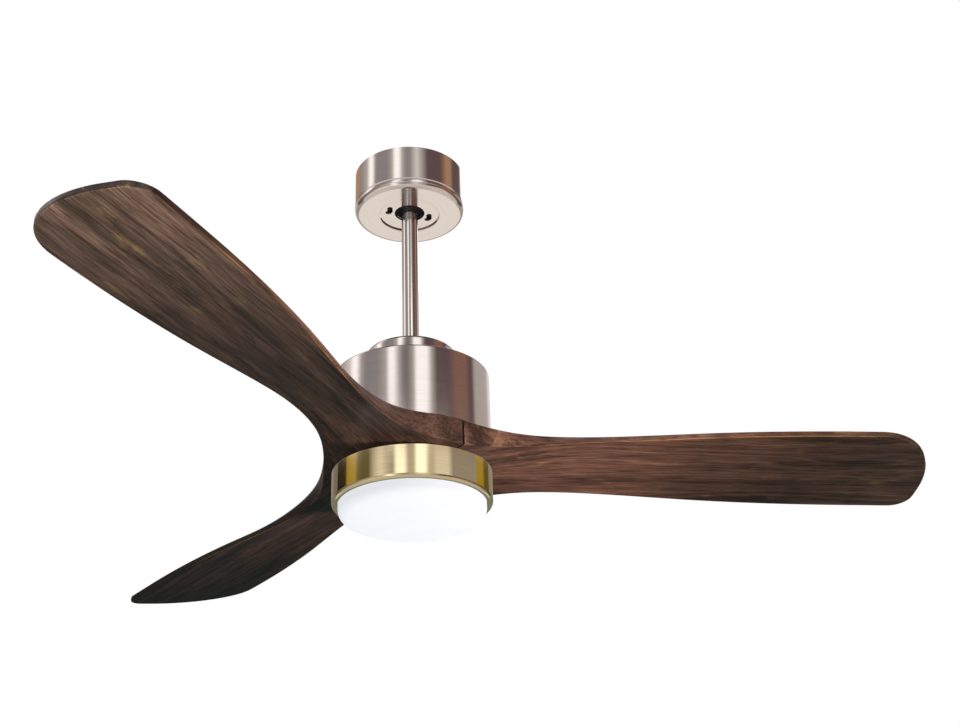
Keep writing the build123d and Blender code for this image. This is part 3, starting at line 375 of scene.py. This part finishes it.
def blade_shape():
    """Top and bottom faces on one grid of rows and columns, joined by a wall round their rim. A row bows
    outwards round the hub and straightens along the blade. The faces are straight across the width
    between the levels of the high and the low edge, and fall away in a quarter circle at the rim. The
    last value tells how near each point is to the rounded corner of the rim, where a painted highlight lies."""
    hub = np.linspace(ROOT_HOLE, NOTCH, 18)
    gap = SEAM / 2 / sin(pi / 3)
    near_tip = SWEEP - np.array([0.0222, 0.0165, 0.0115, 0.0078, 0.005, 0.0032, 0.0019, 0.001, 0.0004,
                                 0.0001, 0])
    along = np.r_[np.linspace(NOTCH / 2, LOW_END, 90)[1:], np.linspace(LOW_END, 0.63, 90)[1:], near_tip]
    end_s = np.r_[hub / 2, along]
    high, low = edges_at(along)
    high, low = np.r_[-hub * sin(pi / 3), high], np.r_[hub * sin(pi / 3), low]
    root_share = np.clip((along - NOTCH / 2) / BOW_RUN, 0, 1)
    bow = np.r_[hub / 2, NOTCH / 2 * (1 - root_share ** 2 * (3 - 2 * root_share))]
    inset = np.array([0, 0.00012, 0.0004, 0.0008, 0.0013, 0.002, 0.0029])
    middle = np.linspace(0, 1, 34)[None, 1:-1]
    first, last = high[:, None] + inset, low[:, None] - inset[::-1]
    w = np.hstack([first, first[:, -1:] + (last[:, :1] - first[:, -1:]) * middle, last])
    place = (2 * w - (high + low)[:, None]) / (low - high)[:, None]
    s = end_s[:, None] + bow[:, None] * (1 - place ** 2)
    rim = np.vstack([np.c_[s[:, 0], w[:, 0]], np.c_[s[-1], w[-1]], np.c_[s[::-1, -1], w[::-1, -1]],
                     np.c_[s[0, ::-1], w[0, ::-1]]])
    ends = np.roll(rim, -1, 0)
    grid = np.stack([s, w], -1).reshape(-1, 1, 2)
    run = ends - rim
    share = ((grid - rim) * run).sum(-1) / np.maximum((run ** 2).sum(-1), 1e-18)
    away = grid - rim - np.clip(share, 0, 1)[..., None] * run
    inside = np.linalg.norm(away, axis=-1).min(1).reshape(s.shape)
    half = half_width(s)
    high_top = eased(s, TWIST_START, TOP_START, ROOT_TOP, ROOT_TOP - HIGH_DROP)
    high_low = eased(s, TWIST_START, HIGH_END, ROOT_LOW, ROOT_TOP - HIGH_DROP - BLADE)
    low_low = eased(s, TWIST_START, LOW_END, ROOT_LOW, ROOT_LOW - LOW_DROP)
    low_top = eased(s, TOP_START, LOW_END, ROOT_TOP, ROOT_LOW - LOW_DROP + BLADE)
    top = (high_top + low_top) / 2 + (low_top - high_top) / 2 * w / half
    bottom = (high_low + low_low) / 2 + (low_low - high_low) / 2 * w / half
    edge = eased(s, 0.06, 0.2, CRISP_EDGE, SOFT_EDGE)
    drop = edge - np.sqrt(edge ** 2 - np.clip(edge - inside, 0, edge) ** 2)
    shifted = s + gap
    upper = np.stack([shifted, w, top - drop], -1).reshape(-1, 3)
    lower = np.stack([shifted, w, bottom + drop], -1).reshape(-1, 3)
    index = np.arange(s.size).reshape(s.shape)
    a, b, c, d = index[:-1, :-1], index[1:, :-1], index[1:, 1:], index[:-1, 1:]
    quads = np.stack([a, b, c, d], -1).reshape(-1, 4)
    ring = np.r_[index[:-1, 0], index[-1, :-1], index[:0:-1, -1], index[0, :0:-1]]
    wall = np.stack([ring, ring + s.size, np.roll(ring, -1) + s.size, np.roll(ring, -1)], -1)
    faces = np.vstack([quads, quads[:, ::-1] + s.size, wall])
    # Painted highlight: a thin band on the rounded corner of the rim, from 0.08 to 0.6 m out, where warm
    # light catches the edge.
    painted_rim_highlight = np.clip(1 - np.abs(inside - RIM_HIGHLIGHT_INSIDE) / RIM_HIGHLIGHT_HALF, 0, 1)
    painted_rim_highlight *= np.clip((s - 0.08) / 0.16, 0, 1) * np.clip((0.6 - s) / 0.06, 0, 1)
    return np.vstack([upper, lower]), faces, np.tile(painted_rim_highlight.ravel(), 2)


GRAIN_LINES = 75.0
GRAIN_BEND = 8.0
PALE_FLECK = (0.3, 0.18, 0.07, 1)
# Warm orange of the painted highlight along the blades' rim.
RIM_HIGHLIGHT_ORANGE = (0.8, 0.42, 0.15, 1)


def walnut(name, turn, shift):
    """Stained walnut with its grain along the blade. A slow noise bends the lines across the width into
    long figure, and a noise along the bent lines gives the bands. Stretched noises give the dark streaks,
    soft clouds, thin lines, pores and pale flecks. End grain, which faces along the blade, drinks more
    stain. A painted highlight of warm orange lies in patches along the rounded rim."""
    finish, tree, shader = new_finish(name, 0.0, Specular_IOR_Level=0.2, Coat_Weight=0.5, Coat_Roughness=0.2)
    place = add_node(tree, "ShaderNodeTexCoord").outputs
    board = add_node(tree, "ShaderNodeMapping", {"Vector": place["Object"], "Rotation": (0, 0, -turn),
                                                 "Location": (shift, 0.37 * shift, 0)}).outputs["Vector"]
    facing = add_node(tree, "ShaderNodeMapping", {"Vector": place["Normal"], "Rotation": (0, 0, -turn)},
                      vector_type="VECTOR").outputs["Vector"]

    def stretched(along, across, detail):
        """Noise stretched along the grain."""
        scale = (along, across, across)
        at = add_node(tree, "ShaderNodeMapping", {"Vector": board, "Scale": scale}).outputs["Vector"]
        return add_node(tree, "ShaderNodeTexNoise", {"Vector": at, "Scale": 1.0, "Detail": detail,
                                                     "Roughness": 0.6}).outputs["Fac"]

    across = add_node(tree, "ShaderNodeSeparateXYZ", {0: board}).outputs["Y"]
    across = add_node(tree, "ShaderNodeMath", {0: across, 1: GRAIN_LINES}, operation="MULTIPLY").outputs[0]
    bent = add_node(tree, "ShaderNodeMath", {0: stretched(1.5, 7, 3.0), 1: GRAIN_BEND, 2: across},
                    operation="MULTIPLY_ADD").outputs[0]
    bands = add_node(tree, "ShaderNodeTexNoise", {"W": bent, "Scale": 1.0, "Detail": 5.0, "Roughness": 0.62},
                     noise_dimensions="1D").outputs["Fac"]
    pores = stretched(26, 460, 5.0)
    figure = add_node(tree, "ShaderNodeMix", {"Factor": 0.5, "A": bands, "B": pores}).outputs["Result"]
    stain = tones(tree, figure, [(0.3, 0.03, 0.018, 0.013), (0.45, 0.088, 0.046, 0.032),
                                 (0.57, 0.145, 0.08, 0.056), (0.72, 0.23, 0.133, 0.092)])
    streaks = tones(tree, stretched(5, 38, 5.0), [(0.32, 0.38, 0.42, 0.4), (0.52, 1, 1, 1)])
    clouds = tones(tree, stretched(7, 16, 4.0), [(0.35, 0.78, 0.82, 0.82), (0.65, 1.22, 1.18, 1.14)])
    lines = tones(tree, stretched(1.8, 110, 3.0), [(0.34, 0.5, 0.55, 0.54), (0.44, 1, 1, 1)])
    open_pores = tones(tree, pores, [(0.36, 0.66, 0.67, 0.67), (0.5, 1.04, 1.04, 1.04)])
    endwise = add_node(tree, "ShaderNodeSeparateXYZ", {0: facing}).outputs["X"]
    endwise = add_node(tree, "ShaderNodeMath", {0: endwise}, operation="ABSOLUTE").outputs[0]
    drunk = tones(tree, endwise, [(0.45, 1, 1, 1), (0.75, 0.22, 0.24, 0.24)])
    for layer in (streaks, clouds, lines, open_pores, drunk):
        stain = add_node(tree, "ShaderNodeMix", {"Factor": 1.0, "A": stain, "B": layer},
                         data_type="RGBA", blend_type="MULTIPLY").outputs["Result"]
    flecks = spread(tree, stretched(16, 55, 3.0), -2.6, 1.6)
    stain = add_node(tree, "ShaderNodeMix", {"Factor": flecks, "A": stain, "B": PALE_FLECK},
                     data_type="RGBA").outputs["Result"]
    # Painted highlight along the rim, broken into patches by a stretched noise.
    painted_rim_highlight = add_node(tree, "ShaderNodeAttribute", attribute_name="painted_rim_highlight").outputs["Fac"]
    patchy = spread(tree, stretched(7, 3, 2.0), -1.3, 1.9)
    painted_rim_highlight = add_node(tree, "ShaderNodeMath", {0: painted_rim_highlight, 1: patchy}, operation="MULTIPLY",
                    use_clamp=True).outputs[0]
    stain = add_node(tree, "ShaderNodeMix", {"Factor": painted_rim_highlight, "A": stain, "B": RIM_HIGHLIGHT_ORANGE},
                     data_type="RGBA").outputs["Result"]
    tree.links.new(stain, shader.inputs["Base Color"])
    tree.links.new(spread(tree, pores, 0.45, 0.65), shader.inputs["Roughness"])
    tree.links.new(raised(tree, pores, 4e-5), shader.inputs["Normal"])
    return finish


blade_points, blade_faces, blade_rim_highlight = blade_shape()
for number in range(3):
    turn = 2 * pi / 3 * number
    spin = np.array([[cos(turn), sin(turn), 0], [-sin(turn), cos(turn), 0], [0, 0, 1]])
    wood = walnut(f"walnut_{number + 1}", turn, 1.7 * number + 0.6)
    paddle = new_piece(f"walnut_blade_{number + 1}", blade_points @ spin, blade_faces, wood, "walnut",
                       "rotor")
    # Each blade carries its band of painted highlight as a point attribute.
    paddle.data.attributes.new("painted_rim_highlight", "FLOAT", "POINT").data.foreach_set("value", blade_rim_highlight)
    paddle.visible_glossy = False
    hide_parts(f"blade_{number + 1}")
dress(zinc_plate, "blade_clamp")
dress(screw_steel, "blade_screws")

# Light plate and what hangs under it: a pressed steel plate on the shaft's end carries the driver, the
# board of light chips on standoffs, and the bayonet holder for the lens.
chip_phosphor = mottled("chip_phosphor", (0.82, 0.7, 0.28), (0.92, 0.82, 0.4), 0.0, 0.4, 200)
dress(zinc_plate, "light_plate")
dress(screw_steel, "light_nuts", "led_standoffs", "light_ring_screws")
dress(white_nylon, "led_driver", "led_board", "lens_holder")
dress(chip_phosphor, "led_chips")
dress(sheathed, "light_lead")

# Light ring: a band of spun brass with a rounded lip, brushed round its axis and lacquered. Three
# screws through inner lugs hold it up to the light plate.
RING = 0.09775
RING_TOP = -0.436
RING_LOW = -0.4763
RING_WALL = 0.0013
RING_OPENING = 0.0906
RING_ROUND = 0.004
brushed_brass = brushed("brushed_brass", (0.72, 0.61, 0.37), (0.86, 0.76, 0.5), 0.1, 0.5)
ring_outline = rounded([(RING, RING_TOP), (RING, RING_LOW), (RING_OPENING, RING_LOW),
                        (RING_OPENING, RING_LOW + RING_WALL), (RING - RING_WALL, RING_LOW + RING_WALL),
                        (RING - RING_WALL, RING_TOP)], [0, RING_ROUND, 0, 0, RING_ROUND - RING_WALL, 0])
ring = new_piece("brass_ring", *turned(ring_outline), brushed_brass, "brushed_brass", "hanging")
ring.visible_glossy = False
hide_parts("light_ring")

# Lens: a shallow bowl of opal plastic, blown with a soft lower corner, that twists into the bayonet
# holder. The chips behind it make it glow evenly.
LENS = 0.09
LENS_TOP = -0.462
LENS_LOW = -0.4923
LENS_WALL = 0.0022
LENS_CROWN = 0.0057
LENS_ROUND = 0.013
DOME_POINTS = 14
# Height over which the painted rim shade dims the lens's glow.
RIM_SHADE_DEEP = 0.008


def dome(radius, low):
    """Points on a shallow arc, level at the axis, that reaches a height at a radius."""
    r = np.linspace(0.0001, 0.8 * radius, DOME_POINTS)
    big = (radius ** 2 + LENS_CROWN ** 2) / (2 * LENS_CROWN)
    return np.c_[r, low - LENS_CROWN + big - np.sqrt(big ** 2 - r ** 2)]


def opal(name):
    """White plastic with a faint cloud, that glows a little more on its level face than on its wall. The
    weaker glow up the wall is partly the chips' light falling off and partly painted shade at the rim.
    """
    finish, tree, shader = new_finish(name, 0.0, Specular_IOR_Level=0.3)
    where = add_node(tree, "ShaderNodeTexCoord").outputs["Object"]
    cloud = noise(tree, where, 30.0, 3.0)
    height = add_node(tree, "ShaderNodeSeparateXYZ", {0: where}).outputs["Z"]
    # Painted shade at the rim, partly real fall-off of the chips' light: the glow drops from 0.9 on the face
    # to 0.76 a few millimetres up.
    glow = add_node(tree, "ShaderNodeMapRange", {
        "Value": height, "From Min": LENS_LOW, "From Max": LENS_LOW + RIM_SHADE_DEEP, "To Min": 0.9,
        "To Max": 0.76}).outputs["Result"]
    plastic = tones(tree, cloud, [(0.3, 0.15, 0.16, 0.17), (0.7, 0.18, 0.19, 0.2)])
    light = tones(tree, cloud, [(0.3, 0.93, 0.95, 1), (0.7, 0.95, 0.97, 1)])
    tree.links.new(plastic, shader.inputs["Base Color"])
    tree.links.new(light, shader.inputs["Emission Color"])
    tree.links.new(glow, shader.inputs["Emission Strength"])
    tree.links.new(spread(tree, cloud, 0.3, 0.4), shader.inputs["Roughness"])
    return finish


lens_in = LENS - LENS_WALL
outer_dome, inner_dome = dome(LENS, LENS_LOW), dome(lens_in, LENS_LOW + LENS_WALL)
lens_corners = np.vstack([outer_dome, [(LENS, LENS_LOW), (LENS, LENS_TOP), (lens_in, LENS_TOP),
                                       (lens_in, LENS_LOW + LENS_WALL)], inner_dome[::-1]])
lens_radii = np.zeros(len(lens_corners))
lens_radii[[DOME_POINTS, DOME_POINTS + 3]] = LENS_ROUND, LENS_ROUND - LENS_WALL
lens_outline = rounded(lens_corners, np.where(lens_radii > 0, lens_radii, 1e-6))
lens = new_piece("opal_lens", *turned(lens_outline, 192), opal("opal_plastic"), "opal_plastic", "lens")
lens.visible_glossy = False
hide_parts("diffuser")

# Studio: a pale floor far below with a sun of its own, a white surround, soft lamps from below, the
# front and above, and glowing cards and panels that show in mirrors alone. Some of the panels show in
# the canopy or in the light ring and nowhere else.
FLOOR = -2.4
FLOOR_HALF = 9


def plain_floor(name):
    """Pale matt floor with a faint cloud, clear when seen from below."""
    finish, tree, shader = new_finish(name, 0.0, Specular_IOR_Level=0.1)
    where = add_node(tree, "ShaderNodeTexCoord").outputs["Object"]
    cloud = noise(tree, where, 1.5, 2.0)
    pale = tones(tree, cloud, [(0.3, 0.86, 0.86, 0.86), (0.7, 0.88, 0.88, 0.88)])
    tree.links.new(pale, shader.inputs["Base Color"])
    shader.inputs["Roughness"].default_value = 0.8
    below = add_node(tree, "ShaderNodeNewGeometry").outputs["Backfacing"]
    clear = add_node(tree, "ShaderNodeBsdfTransparent").outputs[0]
    shown = add_node(tree, "ShaderNodeMixShader", {0: below, 1: shader.outputs[0], 2: clear}).outputs[0]
    tree.links.new(shown, tree.nodes["Material Output"].inputs["Surface"])
    return finish


floor_mesh = bpy.data.meshes.new("floor")
floor_corners = [(x * FLOOR_HALF, y * FLOOR_HALF, FLOOR) for x, y in ((-1, -1), (1, -1), (1, 1), (-1, 1))]
floor_mesh.from_pydata(floor_corners, [], [(0, 1, 2, 3)])
floor_mesh.materials.append(plain_floor("floor_paint"))
studio_floor = bpy.data.objects.new("floor", floor_mesh)
bpy.context.collection.objects.link(studio_floor)
studio_floor.visible_diffuse = studio_floor.visible_glossy = False
floor_only = bpy.data.collections.new("floor_only")
floor_only.objects.link(studio_floor)
sun = bpy.data.lights.new("floor_sun", "SUN")
sun.energy = 2.9
sun.angle = radians(5)
sun_holder = bpy.data.objects.new("floor_sun", sun)
bpy.context.collection.objects.link(sun_holder)
sun_holder.rotation_euler = (radians(12), radians(-8), 0)
sun_holder.light_linking.receiver_collection = floor_only

world = bpy.data.worlds.new("surround")
bpy.context.scene.world = world
world.use_nodes = True
sky = world.node_tree
sky.nodes.clear()
path = add_node(sky, "ShaderNodeLightPath").outputs
fill = add_node(sky, "ShaderNodeBackground", {"Color": (0.6, 0.95, 1, 1), "Strength": 0.075}).outputs[0]
white = add_node(sky, "ShaderNodeBackground", {"Color": (1, 1, 1, 1), "Strength": 1.0}).outputs[0]
shown = add_node(sky, "ShaderNodeMixShader", {0: path["Is Camera Ray"], 1: fill, 2: white}).outputs[0]
add_node(sky, "ShaderNodeOutputWorld", {"Surface": shown})

CAMERA_TURN = -94.0
CARD_FAR = 1.5
CARD_POINTS = 361
BRIGHT, PALE_BRIGHT, PALE = (1.55, 1.52, 1.5), (0.9, 0.84, 0.82), (0.58, 0.52, 0.49)
SHADE = (0.04, 0.06, 0.06)
GREY, SLATE, MAUVE, DARK = (0.35, 0.32, 0.32), (0.24, 0.22, 0.22), (0.15, 0.1, 0.105), (0.02, 0.015, 0.006)
BROWN, AMBER, UMBER, GOLD = (0.3, 0.165, 0.12), (0.5, 0.3, 0.19), (0.12, 0.1, 0.03), (0.42, 0.28, 0.02)


def mirrored_only(name, points, faces, tones_at, mirrors=()):
    """Glowing sheet, with a tone at each point, that lights nothing and shows in mirrors alone. Given
    some mirrors, it adds its glow in those and is clear to the rest."""
    mesh = bpy.data.meshes.new(name)
    mesh.from_pydata(points.tolist(), [], faces.tolist())
    tones_at = np.hstack([tones_at, np.ones((len(points), 1))])
    mesh.attributes.new("tone", "FLOAT_COLOR", "POINT").data.foreach_set("color", tones_at.ravel())
    paint = bpy.data.materials.new(name)
    paint.use_nodes = True
    paint.node_tree.nodes.clear()
    tone = add_node(paint.node_tree, "ShaderNodeAttribute", attribute_name="tone").outputs["Color"]
    glow = add_node(paint.node_tree, "ShaderNodeEmission", {"Color": tone}).outputs[0]
    if mirrors:
        clear = add_node(paint.node_tree, "ShaderNodeBsdfTransparent").outputs[0]
        glow = add_node(paint.node_tree, "ShaderNodeAddShader", {0: glow, 1: clear}).outputs[0]
    add_node(paint.node_tree, "ShaderNodeOutputMaterial", {"Surface": glow})
    mesh.materials.append(paint)
    sheet = bpy.data.objects.new(name, mesh)
    bpy.context.collection.objects.link(sheet)
    sheet.visible_camera = sheet.visible_diffuse = sheet.visible_shadow = sheet.visible_transmission = False
    if mirrors:
        sheet.light_linking.receiver_collection = bpy.data.collections.new(name)
        for mirror in mirrors:
            sheet.light_linking.receiver_collection.objects.link(mirror)


def card_ring(name, low, high, stops):
    """Upright sheet on a circle round the rod. Its tone runs straight between stops at turns from the
    camera's side, in degrees."""
    turns = np.array([stop[0] for stop in stops], float)
    stop_tones = np.array([stop[1] for stop in stops])
    turn = np.linspace(turns[0], turns[-1], CARD_POINTS)
    tone = np.stack([np.interp(turn, turns, stop_tones[:, k]) for k in range(3)], -1)
    t = np.radians(CAMERA_TURN + turn)
    edge = np.stack([CARD_FAR * np.cos(t), CARD_FAR * np.sin(t)], -1)
    points = np.vstack([np.c_[edge, np.full(CARD_POINTS, low)], np.c_[edge, np.full(CARD_POINTS, high)]])
    k = np.arange(CARD_POINTS - 1)
    faces = np.stack([k, k + CARD_POINTS, k + CARD_POINTS + 1, k + 1], -1)
    mirrored_only(name, points, faces, np.vstack([tone, tone]))


def panel(name, place, aim, wide, tall, tone, mirrors=()):
    """Flat sheet at a place, turned to face a point, with its lower edge level."""
    place = np.array(place, float)
    out = np.array(aim, float) - place
    side = np.cross(out, (0, 0, 1)) / np.linalg.norm(np.cross(out, (0, 0, 1)))
    rise = np.cross(side, out) / np.linalg.norm(np.cross(side, out))
    corners = np.array([(-0.5, -0.5), (0.5, -0.5), (0.5, 0.5), (-0.5, 0.5)]) * (wide, tall)
    mirrored_only(name, place + corners[:, :1] * side + corners[:, 1:] * rise, np.array([[0, 1, 2, 3]]),
                  np.tile(tone, (4, 1)), mirrors)


card_ring("canopy_cards", 0.68, 1.9, [
    (-180, AMBER), (-132, AMBER), (-124, GREY), (-100, PALE), (-90, BRIGHT), (-84, BRIGHT), (-75, GREY),
    (-46, GREY), (-36, PALE), (-29, BRIGHT), (-22, BRIGHT), (-14, PALE), (-6, GREY), (2, GREY),
    (16, PALE_BRIGHT), (24, PALE), (38, MAUVE), (68, MAUVE), (76, BROWN), (84, AMBER), (98, AMBER),
    (104, MAUVE), (136, MAUVE), (142, BRIGHT), (180, BRIGHT)])
card_ring("drum_cards", 0.19, 0.68, [
    (-180, PALE), (-114, PALE), (-99, PALE_BRIGHT), (-91, BRIGHT), (-84, BRIGHT), (-76, PALE),
    (-68, GREY), (-48, GREY), (-36, PALE), (-30, BRIGHT), (-25, BRIGHT), (-17, PALE), (-11, SLATE),
    (-5, SLATE), (3, PALE), (8, BRIGHT), (22, BRIGHT), (29, PALE), (36, MAUVE), (54, MAUVE),
    (66, BROWN), (84, BROWN), (92, MAUVE), (97, MAUVE), (104, PALE), (140, PALE), (150, PALE_BRIGHT),
    (180, PALE)])
card_ring("ring_cards", 0.02, 0.2, [
    (-180, MAUVE), (-152, MAUVE), (-144, DARK), (-106, DARK), (-101, GOLD), (-86, GOLD), (-80, UMBER),
    (-62, UMBER), (-54, PALE), (-46, PALE_BRIGHT), (-42, PALE_BRIGHT), (-34, PALE), (-29, GREY),
    (-26, GREY), (-20, BRIGHT), (-11, BRIGHT), (-5, PALE), (2, PALE), (7, BRIGHT), (17, BRIGHT),
    (23, PALE), (28, PALE), (34, PALE_BRIGHT), (50, PALE_BRIGHT), (58, GREY), (98, GREY), (103, GOLD),
    (116, GOLD), (122, UMBER), (140, UMBER), (180, MAUVE)])
card_ring("low_cards", -1.5, 0.02, [
    (-180, SHADE), (-138, SHADE), (-122, MAUVE), (-100, SLATE), (-78, GREY), (-40, PALE), (-30, BRIGHT),
    (-20, PALE), (-8, GREY), (4, PALE), (12, PALE_BRIGHT), (24, PALE), (40, MAUVE), (78, BROWN),
    (122, MAUVE), (138, SHADE), (180, SHADE)])
underside = [canopy, nodes["canopy_cover"]]
panel("canopy_panel", (0.03, 0.3, -0.27), (0.03, 0, -0.27), 0.42, 0.22, (0.65, 0.6, 0.55), underside)
panel("rim_panel", (0.03, 0.32, -0.17), (0.03, 0, -0.17), 1.0, 0.62, (0.4, 0.37, 0.34), underside)
panel("floor_panel", (0, -0.3, -1.9), (0, -0.25, 0), 3.4, 3.0, (0.2, 0.175, 0.16))
panel("lip_panel", (0, -0.045, -0.2), (0, -0.025, 0), 0.7, 0.31, (0.6, 0.55, 0.51), [canopy])
panel("ring_panel", (0, 0.1, -0.8), (0, 0.12, 0), 1.6, 1.2, (0.4, 0.38, 0.36), [ring])
panel("ring_back_panel", (0, 0.6, -0.45), (0, 0, -0.45), 1.4, 1.0, (0.18, 0.175, 0.16), [ring])


def soft_lamp(name, place, aim, size, spread_angle, watts, colour):
    """Square lamp at a place, turned to face a point, with its beam narrowed to an angle in degrees."""
    lamp = bpy.data.lights.new(name, "AREA")
    lamp.size = size
    lamp.spread = radians(spread_angle)
    lamp.energy = watts
    lamp.color = colour
    holder = bpy.data.objects.new(name, lamp)
    bpy.context.collection.objects.link(holder)
    holder.location = place
    holder.rotation_euler = (Vector(place) - Vector(aim)).to_track_quat("Z", "Y").to_euler()
    holder.visible_camera = holder.visible_glossy = False


soft_lamp("left_lamp", (-0.8, -1.1, -1.05), (-0.3, -0.62, -0.42), 0.3, 40, 1.38, (0.9, 0.98, 1.0))
soft_lamp("right_lamp", (0.8, -0.35, -0.84), (0.02, 0, -0.43), 0.2, 40, 0.86, (1, 0.8, 0.78))
soft_lamp("tip_lamp", (1.0, -0.6, -0.95), (0.64, -0.02, -0.43), 0.2, 40, 0.22, (0.94, 1.0, 1.02))
soft_lamp("front_lamp", (0.45, -1.5, -0.38), (0.42, -0.07, -0.415), 0.15, 26, 0.5, (1, 0.72, 0.52))
soft_lamp("edge_lamp", (0.9, -0.9, -0.46), (-0.2, -0.38, -0.415), 0.15, 24, 0.35, (1, 0.6, 0.42))
soft_lamp("top_lamp", (0.3, 0.4, 2.6), (0, 0, -0.4), 1.6, 120, 18, (1, 0.98, 0.95))

view = bpy.data.cameras.new("camera")
view.sensor_width = 36.0
view.lens = 51.784
view.clip_end = 60
camera = bpy.data.objects.new("camera", view)
bpy.context.collection.objects.link(camera)
camera.location = (-0.11133, -1.56349, -1.07488)
camera.rotation_euler = (radians(116.7717), radians(1.7948), radians(-6.3685))
bpy.context.scene.camera = camera
bpy.context.scene.view_settings.view_transform = "Standard"
